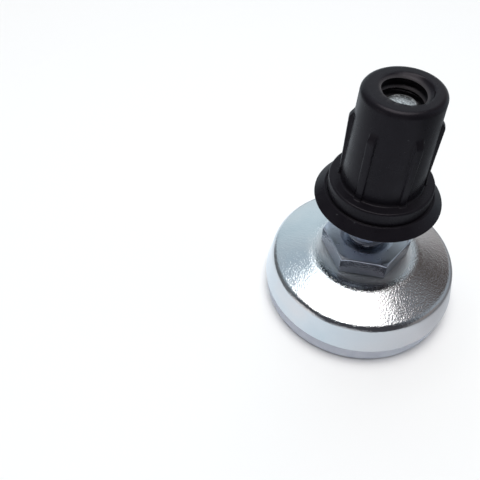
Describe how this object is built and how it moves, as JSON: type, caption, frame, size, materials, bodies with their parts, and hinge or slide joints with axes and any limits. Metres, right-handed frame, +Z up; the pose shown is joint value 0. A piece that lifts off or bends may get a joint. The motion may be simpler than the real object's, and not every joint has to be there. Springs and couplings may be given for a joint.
{
  "type": "furniture leveling foot",
  "caption": "Round plated base with a plastic glide pad, a turning stud with a hex collar, and a ribbed plastic insert for round tube legs.",
  "frame": {"origin": "centre of the glide pad's underside, where the foot meets the floor", "axes": "+Z up along the stud, towards the top of the tube insert; +X through a corner of the hex collar and a rib of the insert"},
  "size_m": [0.0283, 0.0282, 0.0361],
  "materials": {
    "pad_plastic": "milky translucent moulded plastic",
    "plated_cup": "bright blue-white zinc plating on pressed steel",
    "plated_stud": "bright blue-white zinc plating on cold-headed steel",
    "insert_plastic": "satin black moulded plastic"
  },
  "bodies": {
    "base": {"base_cup": "plated_cup", "glide_pad": "pad_plastic"},
    "stud": {"leveling_stud": "plated_stud"},
    "insert": {"tube_insert": "insert_plastic"}
  },
  "joints": [
    {"name": "stud_spin", "type": "hinge", "parent": "base", "child": "stud", "pos_m": [0, 0, 0.0091], "axis": [0, 0, 1], "range_deg": [-2160, 1980]},
    {"name": "insert_lift", "type": "slide", "parent": "base", "child": "insert", "axis": [0, 0, 1], "range_m": [-0.00699, 0.00762]}
  ],
  "couplings": [
    {"joint": "insert_lift", "follows": "stud_spin", "m_per_rad": -0.00020213}
  ]
}
